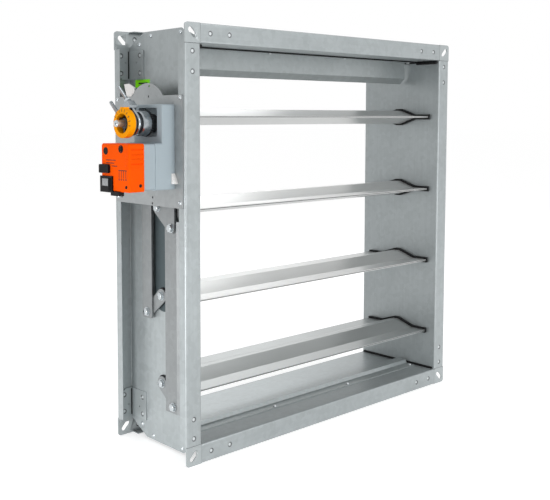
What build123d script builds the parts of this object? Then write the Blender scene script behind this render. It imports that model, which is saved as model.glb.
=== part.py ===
from build123d import *
import math
import os

# Opposed-blade regulating damper with a spring-return actuator.
# Millimetres. X runs across the duct, +Y goes in through the duct, +Z is up.
# The origin is on the front flange's face, at the middle of its bottom edge.

# Casing
casing_width = 780.0
casing_height = 780.0
casing_depth = 210.0
flange_height = 35.0
sheet = 1.5
bend_radius = 1.5
flange_lip = 18.0
web_end_gap = 4.0
web_end_chamfer = 26.0
web_end_run = 45.0
tab_height = 28.0
tab_inset = 14.0

# Corner pieces, pushed into the flange channels
corner_plate = 2.0
corner_radius = 6.0
slot_width = 9.5
slot_run = 14.0
arm_length = 56.0
arm_width = 29.0
arm_web_leg = 50.0
arm_chamfer = 12.0
arm_overlap = 10.0
arm_start = 2.0

# Rivets and screws
rivet_head = 8.0
rivet_crown = 4.5
rivet_head_height = 2.2
wall_rivet_edge = 12.0
wall_rivet_depths = [52.0, 139.0]
outer_rivet_depth = 174.5
outer_rivet_edge = 26.0

# Blades
blade_count = 4
blade_pitch = 165.0
lowest_pivot = 123.0
blade_chord = 163.0
blade_thickness = 30.0
blade_sheet = 1.0
ridge_width = 13.0
hem_length = 37.0
hem_thickness = 3.6
blade_end_gap = 7.5

# Blade end seals, shafts and bushes
seal_lip = 4.0
seal_tip_growth = 0.2
seal_clearance = 1.4
plug_length = 16.0
plug_reach = 21.0
plug_air = 0.2
plug_clearance = 0.05
shaft_diameter = 12.0
shaft_clearance = 0.06
shaft_stand = 6.0
bush_outer = 22.0
bush_clearance = 0.1
bush_flange = 30.0
bush_flange_thickness = 2.5

# Stop strips and joint seals
stop_sheet = 1.5
top_stop_setback = 15.0
top_stop_foot = 32.0
top_stop_lip = 12.0
stop_overlap = 4.0
stop_clearance = 0.6
stop_end_gap = 8.0
bottom_stop_foot = 22.0
bottom_stop_setback = 30.0
bottom_stop_lip = 4.0
bottom_stop_lip_drop = 2.0
bottom_screw_inset = 7.0
bottom_stop_bend = 3.0
bottom_stop_rise = 7.0
stop_screw_count = 4
stop_screw_edge = 52.0
stop_screw_head = 9.0
stop_screw_crown = 6.0
stop_screw_height = 2.4
seal_bead = 4.0
seal_inset = 6.0

# Linkage on the left wall
crank_radius = 52.0
crank_angle = 42.0
crank_plate = 3.0
crank_end_radius = 10.0
crank_hub_radius = 13.0
layer_gap = 0.8
bar_width = 29.0
wide_bar_width = 44.0
wide_bar_fold = 11.0
fold_rise = 3.0
bar_end = 12.0
pin_diameter = 8.0
pin_clearance = 0.08
pin_head = 13.0
pin_head_height = 4.0
pin_washer = 17.0
washer_thickness = 1.4
tooth_count = 42
teeth_per_sector = 13
addendum_factor = 0.9
dedendum_factor = 1.15
tooth_backlash = 0.5
pressure_angle = 20.0

# Drive plate
plate_sheet = 1.5
plate_drop = 148.0
plate_rise = 49.0
plate_round = 3.0
plate_edge_gap = 5.0
dome_lift = 4.0
dome_radius = 57.0
plate_hole = 4.0
plate_holes = [(-13.0, -144.0), (-14.0, -133.0), (81.0, -138.0), (-4.0, 48.0), (-6.0, 66.0)]
plate_rivet_depth = 12.0
plate_rivet_low = 10.0
plate_rivet_high = 4.5
guard_offset = 59.0
guard_foot = 14.0
guard_thickness = 3.0

# Drive spindle, carried by the plate and the actuator
spindle_forward = 37.0
spindle_drop = 11.0
spindle_reach = 97.0
bearing_flange = 40.0
bearing_sleeve = 26.0
bearing_length = 13.0
bearing_plate = 3.0

# Actuator
housing_width = 83.0
housing_drop = 115.0
housing_rise = 33.0
shoulder_drop = 34.0
housing_step_depth = 42.0
housing_depth = 66.0
neck_depth = 27.0
cover_depth = 31.0
housing_round = 4.0
cover_round = 4.0
housing_bore = 33.0
neck_pocket_width = 54.0
neck_pocket_height = 50.0
neck_pocket_depth = 12.0
neck_pocket_lift = 2.0
housing_edge = 1.5
plate_air = 0.3
button_diameter = 9.0
button_travel = 3.0
button_stand = 1.6
button_length = 9.0
button_clearance = 0.25
button_inset = 24.0
button_drop = 9.0
cover_edge = 2.0
rib_count = 4
rib_start = 10.0
rib_pitch = 8.0
rib_width = 2.0
rib_depth = 1.2
gland_width = 36.0
gland_height = 28.0
gland_stand = 3.0
foot_width = 24.0
foot_height = 7.0
foot_length = 8.0
foot_offset = 20.0
latch_width = 27.0
latch_height = 15.0
latch_gap = 5.0
latch_stand = 5.0
bracket_width = 9.0
bracket_height = 18.0
bracket_lift = 10.0
bracket_thickness = 8.0
bracket_clearance = 0.3

# Spindle clamp and position indicator
clamp_ring_outer = 44.0
clamp_ring_length = 16.0
clamp_ring_gap = 18.5
disc_diameter = 47.0
disc_thickness = 3.0
drum_diameter = 33.0
drum_length = 51.0
u_bolt_offset = 8.3
u_bolt_spacing = 36.0
u_bolt_diameter = 6.0
u_bolt_reach = 75.0
u_bolt_angle = 43.0
saddle_width = 48.0
saddle_height = 18.0
saddle_length = 15.0
nut_size = 10.0
nut_height = 5.0
indicator_outer = 50.0
indicator_inner = 34.0
indicator_length = 12.0
indicator_hub = 18.0
spoke_width = 4.0
spoke_setback = 5.0
pointer_width = 10.0
pointer_stand = 3.0
indicator_air = 0.5

half_width = casing_width / 2
duct_half = half_width - flange_height
web_outer = duct_half + sheet
duct_bottom = flange_height
duct_top = casing_height - flange_height
mid_height = casing_height / 2
pivots = [lowest_pivot + blade_pitch * i for i in range(blade_count)]
pivot_depth = casing_depth / 2
top_stop_depth = pivot_depth - top_stop_setback
bottom_stop_ridge = pivot_depth - bottom_stop_setback
blade_half = duct_half - blade_end_gap
seal_face = duct_half - seal_clearance
pitch_radius = blade_pitch / 2

# The spindle hangs from the top blade's pivot, and the plate and actuator from it.
spindle_depth = pivot_depth - spindle_forward
spindle_height = pivots[-1] - spindle_drop
plate_bottom = spindle_height - plate_drop
plate_top = spindle_height + plate_rise
dome_centre_height = pivots[-1] + dome_lift
housing_bottom = spindle_height - housing_drop
housing_shoulder = spindle_height - shoulder_drop
housing_top = spindle_height + housing_rise

# The linkage lies in three layers between the left web and the drive plate.
# Each value is the X of the layer's inner face.
layer_1 = -(web_outer + bush_flange_thickness + layer_gap / 2)
layer_2 = layer_1 - crank_plate - layer_gap
layer_3 = layer_2 - crank_plate - layer_gap

os.makedirs("parts", exist_ok=True)


def save(shape, name):
    export_step(shape, f"parts/{name}.step")


def box(x0, x1, y0, y1, z0, z1):
    """A box between two corners."""
    size = (abs(x1 - x0), abs(y1 - y0), abs(z1 - z0))
    return Pos((x0 + x1) / 2, (y0 + y1) / 2, (z0 + z1) / 2) * Box(*size)


def along_x(x0, x1, y, z, diameter):
    """A round bar lying along X."""
    bar = Cylinder(diameter / 2, abs(x1 - x0))
    return Pos((x0 + x1) / 2, y, z) * Rot(0, 90, 0) * bar


def along_y(x, y0, y1, z, diameter):
    """A round bar lying along Y."""
    bar = Cylinder(diameter / 2, abs(y1 - y0))
    return Pos(x, (y0 + y1) / 2, z) * Rot(90, 0, 0) * bar


def slab(x0, x1, outline):
    """A flat plate across X, from an outline drawn as (Y, Z)."""
    base = Plane(origin=(min(x0, x1), 0, 0), x_dir=(0, 1, 0), z_dir=(1, 0, 0))
    return extrude(base * outline, amount=abs(x1 - x0))


def polygon(points):
    return make_face(Polyline(*points, close=True))


def hull_of(lobes):
    """The outline round several lobes, each (Y, Z, radius)."""
    circles = [Pos(y, z) * Circle(r) for y, z, r in lobes]
    return make_hull([edge for circle in circles for edge in circle.edges()])


def group(solids):
    return Compound(children=[solid for shape in solids for solid in shape.solids()])


def bored(body, y, z, diameter):
    """The body with a round hole right through it along X."""
    span = body.bounding_box()
    return body - along_x(span.min.X - 1, span.max.X + 1, y, z, diameter)


def on_circle(y, z, radius, angle):
    """The point at an angle, counted from +Y towards +Z, round (y, z)."""
    a = math.radians(angle)
    return y + radius * math.cos(a), z + radius * math.sin(a)


def crowned(diameter, crown, height):
    """A low fastener head standing on Z = 0, narrower at its crown."""
    return Pos(0, 0, height / 2) * Cone(diameter / 2, crown / 2, height)


# Casing walls: one bent channel each, with flanges and short lips

def wall_profile():
    """A wall's bent section. X is the height above the duct face, Y the depth."""
    d, h, t = casing_depth, flange_height, sheet
    outer = [(0, 0), (h, 0), (h, flange_lip), (h - t, flange_lip), (h - t, t), (t, t)]
    far = [(x, d - y) for x, y in reversed(outer)]
    face = polygon(outer + far)
    sharp = [v for v in face.vertices() if v.X < h / 2 or abs(v.Y - d / 2) > d / 2 - 2 * t]
    inside = [v for v in sharp if t / 2 < v.X < h - t / 2]
    outside = [v for v in sharp if v not in inside]
    face = fillet(inside, bend_radius)
    corners = [v for v in face.vertices() if v.Y < 1e-6 or v.Y > d - 1e-6]
    outside = [v for v in corners if v.X < 1e-6 or v.X > h - 1e-6]
    return fillet(outside, bend_radius + t)


def side_wall(sign):
    """A side wall. sign is -1 on the left and 1 on the right."""
    flange_plane = Plane(
        origin=(sign * duct_half, 0, duct_bottom),
        x_dir=(sign, 0, 0),
        z_dir=(0, 0, sign) if sign > 0 else (0, 0, -1),
    )
    length = duct_top - duct_bottom
    wall = extrude(flange_plane * wall_profile(), amount=sign * length)
    low, high = web_end_gap, casing_height - web_end_gap
    near, far = web_end_gap, casing_depth - web_end_gap
    run, cut = web_end_run, web_end_chamfer
    ends = polygon(
        [
            (near + run, low),
            (far - run, low),
            (far, low + cut),
            (far, high - cut),
            (far - run, high),
            (near + run, high),
            (near, high - cut),
            (near, low + cut),
        ]
    )
    wall += slab(sign * duct_half, sign * web_outer, ends)
    for z in pivots:
        wall = bored(wall, pivot_depth, z, bush_outer + 2 * bush_clearance)
    return wall


def cross_wall(top):
    """The top or bottom wall, with a tab at each end that is riveted to a side wall."""
    sign = 1 if top else -1
    face = duct_top if top else duct_bottom
    plane = Plane(origin=(sign * duct_half, 0, face), x_dir=(0, 0, sign), z_dir=(-sign, 0, 0))
    wall = extrude(plane * wall_profile(), amount=2 * duct_half)
    near, far = tab_inset, casing_depth - tab_inset
    knee, end = face + sign * (tab_height - web_end_chamfer / 2), face + sign * tab_height
    run = web_end_run - tab_inset
    tab = polygon([(near, face), (far, face), (far, knee), (far - run, end), (near + run, end), (near, knee)])
    for side in (-1, 1):
        wall += slab(side * duct_half, side * (duct_half - sheet), tab)
    return wall


def wall_rivet_spots():
    """(Y, Z) of the rivets that join the walls at each corner."""
    low = [(y, wall_rivet_edge) for y in wall_rivet_depths] + [(outer_rivet_depth, outer_rivet_edge)]
    return low + [(y, casing_height - z) for y, z in low]


# Corner pieces

def corner_piece(side, top, back):
    """One pressed corner: a slotted square and an angled arm along each flange."""
    s, t, h = flange_height, corner_plate, arm_width
    plate = box(0, s, 0, t, 0, s)
    outer = [e for e in plate.edges().filter_by(Axis.Y) if e.center().X > s - 1 and e.center().Z > s - 1]
    plate = fillet(outer, corner_radius)
    slot = SlotCenterToCenter(slot_run, slot_width)
    cutter = extrude(Plane.XZ * Rot(0, 0, 45) * slot, amount=2 * t, both=True)
    plate -= Pos(s / 2, 0, s / 2) * cutter
    arm = upright_arm()
    piece = plate + arm + mirrored_arm(arm)
    if back:
        piece = Pos(0, casing_depth, 0) * mirror(piece, Plane.XZ)
    if not top:
        piece = mirror(piece, Plane.XY)
    if side < 0:
        piece = mirror(piece, Plane.YZ)
    level = duct_top if top else duct_bottom
    return Pos(side * duct_half, 0, level) * piece


def upright_arm():
    """The arm that runs down behind a side flange, at a top right front corner."""
    t = corner_plate
    inner, outer = sheet, sheet + arm_width
    flange_leg = box(inner, outer, sheet, sheet + t, -arm_length, arm_overlap)
    corner = [e for e in flange_leg.edges().filter_by(Axis.Y) if e.center().X > outer - 1 and e.center().Z < 0]
    flange_leg = chamfer(corner, arm_chamfer)
    web_leg = box(inner, inner + t, sheet, arm_web_leg, -arm_length, -arm_start)
    arm = flange_leg + web_leg
    bend = [e for e in arm.edges().filter_by(Axis.Z) if e.center().X < inner + 0.1 and e.center().Y < sheet + 0.1]
    return chamfer(bend, bend_radius)


def mirrored_arm(arm):
    """The same arm turned to run along the top flange: X and Z change places."""
    diagonal = Plane(origin=(0, 0, 0), x_dir=(0, 1, 0), z_dir=(1, 0, -1))
    return mirror(arm, diagonal)


# Stop strips

def stop_screw_line(top):
    """Y of a strip's row of screws."""
    if top:
        return top_stop_depth - top_stop_foot / 2
    return bottom_stop_ridge - bottom_stop_bend - bottom_stop_foot + bottom_screw_inset


def stop_screw_spots():
    reach = duct_half - (stop_screw_edge - flange_height)
    step = 2 * reach / (stop_screw_count - 1)
    return [-reach + step * i for i in range(stop_screw_count)]


def strip(points):
    """A bent strip across the duct from its (Y, Z) centre line."""
    line = Polyline(*points)
    face = trace(line, stop_sheet)
    length = duct_half - stop_end_gap
    return slab(-length, length, face)


def top_stop():
    half = stop_sheet / 2
    nose = pivots[-1] + blade_chord / 2
    under = duct_top - half
    y = top_stop_depth
    lip_y = pivot_depth - hem_thickness / 2 - stop_clearance - half
    body = strip(
        [
            (y - top_stop_foot, under),
            (y, under),
            (y, nose - stop_overlap + top_stop_lip),
            (lip_y, nose - stop_overlap),
        ]
    )
    return body


def bottom_stop():
    half = stop_sheet / 2
    floor = duct_bottom + half
    top = floor + bottom_stop_rise
    lip_y = pivot_depth - hem_thickness / 2 - stop_clearance - half
    bend = bottom_stop_ridge - bottom_stop_bend
    return strip(
        [
            (bottom_stop_ridge - bottom_stop_foot - bottom_stop_bend, floor),
            (bend, floor),
            (bottom_stop_ridge, top),
            (lip_y - bottom_stop_lip, top),
            (lip_y, top - bottom_stop_lip_drop),
        ]
    )


def stop_screws():
    """The heads of the pan-head screws that hold both strips."""
    head = crowned(stop_screw_head, stop_screw_crown, stop_screw_height)
    low = [Pos(x, stop_screw_line(False), duct_bottom + stop_sheet) * head for x in stop_screw_spots()]
    turned_head = mirror(head, Plane.XY)
    high = [Pos(x, stop_screw_line(True), duct_top - stop_sheet) * turned_head for x in stop_screw_spots()]
    return group(low + high)


def joint_seals():
    """Square beads of sealant in the four corners of the duct."""
    beads = []
    b = seal_bead
    for side in (-1, 1):
        for face, sign in ((duct_bottom, 1), (duct_top, -1)):
            bead = box(0, b, seal_inset, casing_depth - seal_inset, 0, b)
            edge = [e for e in bead.edges().filter_by(Axis.Y) if e.center().X > b / 2 and e.center().Z > b / 2]
            bead = chamfer(edge, b * 0.45)
            if sign < 0:
                bead = mirror(bead, Plane.XY)
            if side > 0:
                bead = mirror(bead, Plane.YZ)
            beads.append(Pos(side * duct_half, 0, face) * bead)
    return group(beads)


# Blades

def blade_outline(grow=0.0):
    """The blade's hollow rhomb section about its pivot, made larger all round by grow."""
    tip = blade_chord / 2 + grow * seal_tip_growth
    ridge = ridge_width / 2
    thick = blade_thickness / 2 + grow
    hem = hem_thickness / 2 + grow
    neck = blade_chord / 2 - hem_length
    quarter = [(tip, hem), (neck, hem), (ridge, thick)]
    upper = quarter + [(-y, z) for y, z in reversed(quarter)]
    return upper + [(-y, -z) for y, z in upper]


def hollow_outline():
    """The hollow inside the blade."""
    neck = blade_chord / 2 - hem_length - 2
    ridge = ridge_width / 2
    thick = blade_thickness / 2 - blade_sheet
    hem = hem_thickness / 2 - blade_sheet
    upper = [(neck, hem), (ridge, thick), (-ridge, thick), (-neck, hem)]
    return upper + [(-y, -z) for y, z in upper]


def blade(z):
    skin = slab(-blade_half, blade_half, polygon(blade_outline()))
    skin -= slab(-blade_half - 1, blade_half + 1, polygon(hollow_outline()))
    return Pos(0, pivot_depth, z) * skin


def end_seals(z):
    """A black plug in each end of the blade, with a lip that wipes the wall."""
    caps = []
    for side in (-1, 1):
        start = side * (blade_half - plug_length)
        lip = slab(side * blade_half, side * seal_face, polygon(blade_outline(seal_lip)))
        plug = slab(start, side * blade_half, plug_face())
        cap = bored(lip + plug, 0, 0, shaft_diameter + 2 * plug_clearance)
        caps.append(Pos(0, pivot_depth, z) * cap)
    return group(caps)


def plug_face():
    """The plug's section: flat under the blade's ridges, sloped beside them."""
    top = blade_thickness / 2 - blade_sheet - plug_air
    flat = ridge_width / 2
    side = top - (plug_reach - flat) * ridge_slope() - plug_air
    points = [(flat, top), (plug_reach, side), (plug_reach, -side), (flat, -top)]
    return polygon(points + [(-y, z) for y, z in reversed(points)])


def ridge_slope():
    """How steeply the blade's skin falls from its ridge to its hem."""
    run = blade_chord / 2 - hem_length - ridge_width / 2
    return (blade_thickness - hem_thickness) / 2 / run


def shaft(index):
    """A round shaft through the blade. It ends flush with the crank on the left."""
    left = crank_layer(index) - crank_plate
    right = web_outer + shaft_stand
    return along_x(left, right, pivot_depth, pivots[blade_count - index], shaft_diameter)


def bush(side, z):
    """A flanged bush that snaps into the wall."""
    inner_face = side * duct_half
    outer_face = side * web_outer
    body = along_x(inner_face, outer_face, pivot_depth, z, bush_outer)
    body += along_x(outer_face, outer_face + side * bush_flange_thickness, pivot_depth, z, bush_flange)
    return bored(body, pivot_depth, z, shaft_diameter + 2 * shaft_clearance)


# Cranks, toothed sectors and bars

def pin_spot(index):
    """(Y, Z) of a blade's crank pin, with the blade open."""
    z = pivots[blade_count - index]
    rearward = index % 2 == 1
    angle = -crank_angle if rearward else 180 + crank_angle
    return on_circle(pivot_depth, z, crank_radius, angle)


def crank_layer(index):
    """X of a crank's inner face. The second blade's crank lies outside its bar."""
    return layer_3 if index == 2 else layer_1


def crank(index):
    """A flat crank from a blade's shaft to its pin. The first carries teeth, the second is wide."""
    z = pivots[blade_count - index]
    layer = crank_layer(index)
    y_pin, z_pin = pin_spot(index)
    lobes = [(pivot_depth, z, crank_hub_radius), (y_pin, z_pin, crank_end_radius)]
    if index == 2:
        lobes.append((y_pin, z, crank_end_radius))
    outline = hull_of(lobes)
    arm = slab(layer - crank_plate, layer, outline)
    if index == 1:
        arm += sector(index)
    arm = bored(arm, pivot_depth, z, shaft_diameter + 2 * plug_clearance)
    return bored(arm, y_pin, z_pin, pin_diameter + 2 * plug_clearance)


def involute(base, radius):
    """The angle of an involute flank at a radius."""
    a = math.acos(base / radius)
    return math.tan(a) - a


def tooth_points(centre, half_tooth):
    """One tooth's corners, its middle at an angle in radians, root to tip and back."""
    module = blade_pitch / tooth_count
    tip = pitch_radius + addendum_factor * module
    root = pitch_radius - dedendum_factor * module
    base = pitch_radius * math.cos(math.radians(pressure_angle))
    rise = []
    for radius in (root, base + 0.1, pitch_radius, tip):
        lean = involute(base, max(radius, base)) - involute(base, pitch_radius)
        rise.append((radius, half_tooth - lean))
    points = [on_circle(0, 0, r, math.degrees(centre - a)) for r, a in rise]
    return points + [on_circle(0, 0, r, math.degrees(centre + a)) for r, a in reversed(rise)]


def sector(index):
    """A toothed sector. The two sectors make blades 1 and 2 turn opposite ways."""
    z = pivots[blade_count - index]
    step = 2 * math.pi / tooth_count
    half_tooth = step / 4 - tooth_backlash / 4 / pitch_radius
    first = -math.pi / 2 - (teeth_per_sector - 2) * step if index == 1 else math.pi / 2 - step / 2
    points = []
    for i in range(teeth_per_sector):
        points += tooth_points(first + i * step, half_tooth)
    last = math.degrees(first + (teeth_per_sector - 1) * step)
    points += [on_circle(0, 0, crank_hub_radius, last + a) for a in (75, 125, 175)]
    plate = slab(layer_1 - crank_plate, layer_1, polygon(points))
    plate = Pos(0, pivot_depth, z) * plate
    plate += along_x(layer_1 - crank_plate, layer_1, pivot_depth, z, 2 * crank_hub_radius)
    return bored(plate, pivot_depth, z, shaft_diameter + 2 * plug_clearance)


def rear_bar():
    """The flat bar that joins cranks 1 and 3, with an ear for the drive lever's pin."""
    top, bottom = pin_spot(1), pin_spot(3)
    middle = Pos(top[0], (top[1] + bottom[1]) / 2)
    strip_face = middle * RectangleRounded(bar_width, top[1] - bottom[1] + 2 * bar_end, 6)
    bar = slab(layer_2 - crank_plate, layer_2, strip_face)
    drive = (top[0] + spindle_depth - pivot_depth, top[1] + spindle_height - pivots[-1])
    ear = hull_of([(*top, bar_end), (*drive, crank_end_radius + 1)])
    bar += slab(layer_2 - crank_plate, layer_2, ear)
    return drilled(bar, [top, bottom, drive])


def front_bar():
    """The wide bar that joins cranks 2 and 4. Its front edge is folded a little inwards."""
    top, bottom = pin_spot(2), pin_spot(4)
    near, far = top[0] - wide_bar_width / 2, top[0] + wide_bar_width / 2
    fold = near + wide_bar_fold
    outer, inner = layer_2 - crank_plate, layer_2
    section = [(outer, far), (outer, fold), (outer + fold_rise, near), (inner + fold_rise, near), (inner, fold), (inner, far)]
    low, high = bottom[1] - bar_end, top[1] + bar_end
    bar = extrude(Plane.XY.offset(low) * polygon(section), amount=high - low)
    return drilled(bar, [top, bottom])


def drilled(bar, spots):
    """A link bar with its pin holes."""
    for y, z in spots:
        bar = bored(bar, y, z, pin_diameter + 2 * pin_clearance)
    return bar


def hexagon(x0, x1, y, z, across):
    """A hexagon head or nut along X."""
    face = RegularPolygon(across / 2, 6, major_radius=False)
    return slab(x0, x1, Pos(y, z) * face)


def crank_pin(index):
    """The bolt that joins a crank and its bar, and the one that holds the crank."""
    y, z = pin_spot(index)
    inner_end = layer_2 if index == 2 else layer_1
    face = layer_3 - crank_plate if index == 2 else layer_2 - crank_plate - layer_gap / 4
    bolts = [along_x(inner_end, face, y, z, pin_diameter) + bolt_head(face, y, z)]
    if index > 1:
        bolts.append(bolt_head(crank_layer(index) - crank_plate, pivot_depth, pivots[blade_count - index]))
    return group(bolts)


def bolt_head(face, y, z):
    """A hexagon head on a washer, standing on a face towards -X."""
    head_start = face - washer_thickness
    washer = along_x(head_start, face, y, z, pin_washer)
    return washer + hexagon(head_start - pin_head_height, head_start, y, z, pin_head)


# Drive spindle with its lever and bearing

def drive_pin_spot():
    return on_circle(spindle_depth, spindle_height, crank_radius, -crank_angle)


def drive_lever():
    """The lever on the spindle's inner end, with a pressed pin for the rear bar."""
    y, z = drive_pin_spot()
    outline = hull_of([(spindle_depth, spindle_height, crank_hub_radius), (y, z, crank_end_radius)])
    lever = slab(layer_3 - crank_plate, layer_3, outline)
    lever = bored(lever, spindle_depth, spindle_height, shaft_diameter + 2 * plug_clearance)
    return lever + along_x(layer_2, layer_3 - crank_plate, y, z, pin_diameter)


def drive_spindle():
    tip = -(half_width + spindle_reach)
    rod = along_x(tip, layer_3, spindle_depth, spindle_height, shaft_diameter)
    ends = [e for e in rod.edges().filter_by(GeomType.CIRCLE) if e.center().X < tip + 0.1]
    return chamfer(ends, 1.5)


def plate_back():
    """X of the drive plate's face towards the linkage."""
    return -half_width


def spindle_bearing():
    x = plate_back()
    body = along_x(x, x + bearing_plate, spindle_depth, spindle_height, bearing_flange)
    body += along_x(x, x + bearing_length, spindle_depth, spindle_height, bearing_sleeve)
    return bored(body, spindle_depth, spindle_height, shaft_diameter + 2 * shaft_clearance)


def drive_plate():
    """The plate across both left flanges, with a dome over the top crank."""
    near, far = plate_edge_gap, casing_depth - plate_edge_gap
    outline = Pos((near + far) / 2, (plate_bottom + plate_top) / 2) * RectangleRounded(
        far - near, plate_top - plate_bottom, plate_round
    )
    outline += Pos(pivot_depth, dome_centre_height) * Circle(dome_radius)
    x = plate_back()
    plate = slab(x - plate_sheet, x, outline)
    plate = bored(plate, spindle_depth, spindle_height, bearing_sleeve)
    for y, z in plate_holes:
        plate = bored(plate, pivot_depth + y, spindle_height + z, plate_hole)
    return plate


def plate_rivet_spots():
    near, far = plate_rivet_depth, casing_depth - plate_rivet_depth
    levels = (plate_bottom + plate_rivet_low, plate_top - plate_rivet_high)
    return [(y, z) for y in (near, far) for z in levels]


def rivets_at(spots, x):
    """Rivet heads standing on a face at X, towards -X."""
    head = Rot(0, -90, 0) * crowned(rivet_head, rivet_crown, rivet_head_height)
    return [Pos(x, y, z) * head for y, z in spots]


# Actuator

def housing_near():
    """Y of the actuator's front side."""
    return spindle_depth - housing_width / 2


def housing_back():
    """X of the actuator's back."""
    return -half_width - plate_sheet - plate_air


def block(x0, x1, y0, y1, z0, z1, radius):
    """A box with its long edges along X rounded."""
    body = box(x0, x1, y0, y1, z0, z1)
    return fillet(body.edges().filter_by(Axis.X), radius)


def outer_rim(body):
    """The edges round a body's face towards -X."""
    return body.faces().filter_by(Axis.X).sort_by(Axis.X)[0].outer_wire().edges()


def rear_housing():
    """The moulded back shell. Its thin neck has a square pocket round the spindle."""
    back = housing_back()
    near, far = housing_near(), housing_near() + housing_width
    body = block(back - housing_step_depth, back, near, far, housing_bottom, housing_shoulder, housing_round)
    neck = block(back - neck_depth, back, near, far, housing_bottom, housing_top, housing_round)
    body += chamfer(outer_rim(neck), housing_edge)
    half, middle = neck_pocket_width / 2, spindle_height + neck_pocket_lift
    pocket = block(
        back - 2 * neck_depth,
        back - neck_depth + neck_pocket_depth,
        spindle_depth - half,
        spindle_depth + half,
        middle - neck_pocket_height / 2,
        middle + neck_pocket_height / 2,
        housing_round,
    )
    return bored(body - pocket, spindle_depth, spindle_height, housing_bore)


def front_housing():
    back = housing_back() - housing_step_depth
    near, far = housing_near(), housing_near() + housing_width
    depth = housing_depth - housing_step_depth
    return block(back - depth, back, near + 1, far - 1, housing_bottom + 1, housing_shoulder - 1, housing_round)


def cover_back():
    return housing_back() - housing_depth


def actuator_cover():
    """The moulded cover, with grip grooves on its sides and a hole for the button."""
    back = cover_back()
    near, far = housing_near(), housing_near() + housing_width
    body = block(back - cover_depth, back, near, far, housing_bottom - 1, housing_shoulder, cover_round)
    body = chamfer(outer_rim(body), cover_edge)
    for i in range(rib_count):
        z = housing_shoulder - rib_start - i * rib_pitch
        for y in (near, far):
            groove = box(-cover_depth / 2 + 5, cover_depth / 2 - 3, -rib_depth, rib_depth, -rib_width / 2, rib_width / 2)
            body -= Pos(back - cover_depth / 2, y, z) * groove
    y, z = button_spot()
    front = back - cover_depth
    return body - along_x(front - 1, front + button_length + button_travel, y, z, button_diameter + 2 * button_clearance)


def button_spot():
    return housing_near() + button_inset, housing_shoulder - button_drop


def release_button():
    y, z = button_spot()
    front = cover_back() - cover_depth
    body = along_x(front - button_stand, front + button_length - button_stand, y, z, button_diameter)
    outer = [e for e in body.edges().filter_by(GeomType.CIRCLE) if e.center().X < front]
    return chamfer(outer, 0.8)


def cable_gland():
    """The black cable entry at the cover's lower rear corner, and the latch above it."""
    front = cover_back() - cover_depth
    far = housing_near() + housing_width
    low = housing_bottom - 3
    under = housing_bottom - 1
    entry = box(front - gland_stand, front, far - gland_width, far, low, low + gland_height)
    foot_y = far - gland_width - foot_offset
    foot = box(front - gland_stand, front + foot_length, foot_y, foot_y + foot_width, under - foot_height, under)
    start = low + gland_height + latch_gap
    latch = box(front - latch_stand, front, far - latch_width, far + 1, start, start + latch_height)
    return group([entry + foot, chamfer(latch.edges().filter_by(Axis.X), 1.5)])


def actuator_screws():
    """The two screws that hold the cover: one at its side and one at its front."""
    front = cover_back() - cover_depth
    y, z = housing_near() + 9, housing_bottom + 8
    head = crowned(6, 4.4, 1.2)
    side = Pos(cover_back() - 8, housing_near(), housing_bottom + 10) * Rot(90, 0, 0) * head
    face = Pos(front, y, z) * Rot(0, -90, 0) * head
    return group([side, face])


def stop_bracket():
    """The small gusset that keeps the actuator from turning, at its bottom front corner."""
    near = housing_near()
    x = plate_back() - plate_sheet
    low, high = housing_bottom + bracket_lift, housing_bottom + bracket_lift + bracket_height
    side = near - bracket_clearance
    return slab(x - bracket_thickness, x, polygon([(side - bracket_width, low), (side, low), (side, high)]))


def linkage_guard():
    """A small plastic piece behind the drive plate's top edge, beside the dome."""
    x = plate_back()
    y, z, low = pivot_depth + guard_offset, plate_top, plate_top - guard_foot
    shape = [(y + 6, low), (y + 6, z), (y + 14, z + 23), (y, z + 24), (y - 18, z + 16), (y - 18, z + 9), (y - 6, z - 2)]
    return slab(x, x + guard_thickness, polygon(shape + [(y - 6, low)]))


# Spindle clamp: it turns with the drive spindle

def clamp_start():
    """X of the clamp's inner end, just clear of the pocket's floor."""
    return housing_back() - neck_depth + neck_pocket_depth - 0.5


def clamp_ring():
    """The steel collar pressed on the drum."""
    x = clamp_start() - clamp_ring_gap
    ring = along_x(x - clamp_ring_length, x, spindle_depth, spindle_height, clamp_ring_outer)
    front = [e for e in ring.edges().filter_by(GeomType.CIRCLE) if e.center().X < x - 1]
    ring = chamfer(front, 2.0)
    return bored(ring, spindle_depth, spindle_height, drum_diameter)


def clamp_drum():
    """The black sleeve on the spindle, with a groove for the U-bolt and a disc at its end."""
    x = clamp_start()
    end = x - drum_length
    drum = along_x(end, x, spindle_depth, spindle_height, drum_diameter)
    drum += along_x(end - disc_thickness, end, spindle_depth, spindle_height, disc_diameter)
    groove = u_bolt_plane()
    half = u_bolt_diameter / 2 + 0.4
    drum -= along_x(groove - half, groove + half, spindle_depth, spindle_height, drum_diameter + 5)
    drum += along_x(groove - half, groove + half, spindle_depth, spindle_height, u_bolt_spacing - u_bolt_diameter - 0.2)
    return bored(drum, spindle_depth, spindle_height, shaft_diameter + 2 * plug_clearance)


def u_bolt_plane():
    return clamp_start() - drum_length + u_bolt_offset


def clamp_frame():
    """Places what is drawn with its threads along +Y at the clamp's angle."""
    return Pos(u_bolt_plane(), spindle_depth, spindle_height) * Rot(u_bolt_angle, 0, 0)


def u_bolt():
    """A U-bolt round the drum with its threads pointing away."""
    half = u_bolt_spacing / 2
    section = Pos(half, 0) * RegularPolygon(u_bolt_diameter / 2, 12)
    bend = revolve(Plane.XZ * section, Axis.Z, 180)
    rod = extrude(Plane.XZ * section, amount=-u_bolt_reach)
    body = Rot(0, 0, 180) * bend + rod + mirror(rod, Plane.YZ)
    return clamp_frame() * Rot(0, 90, 0) * body


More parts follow.
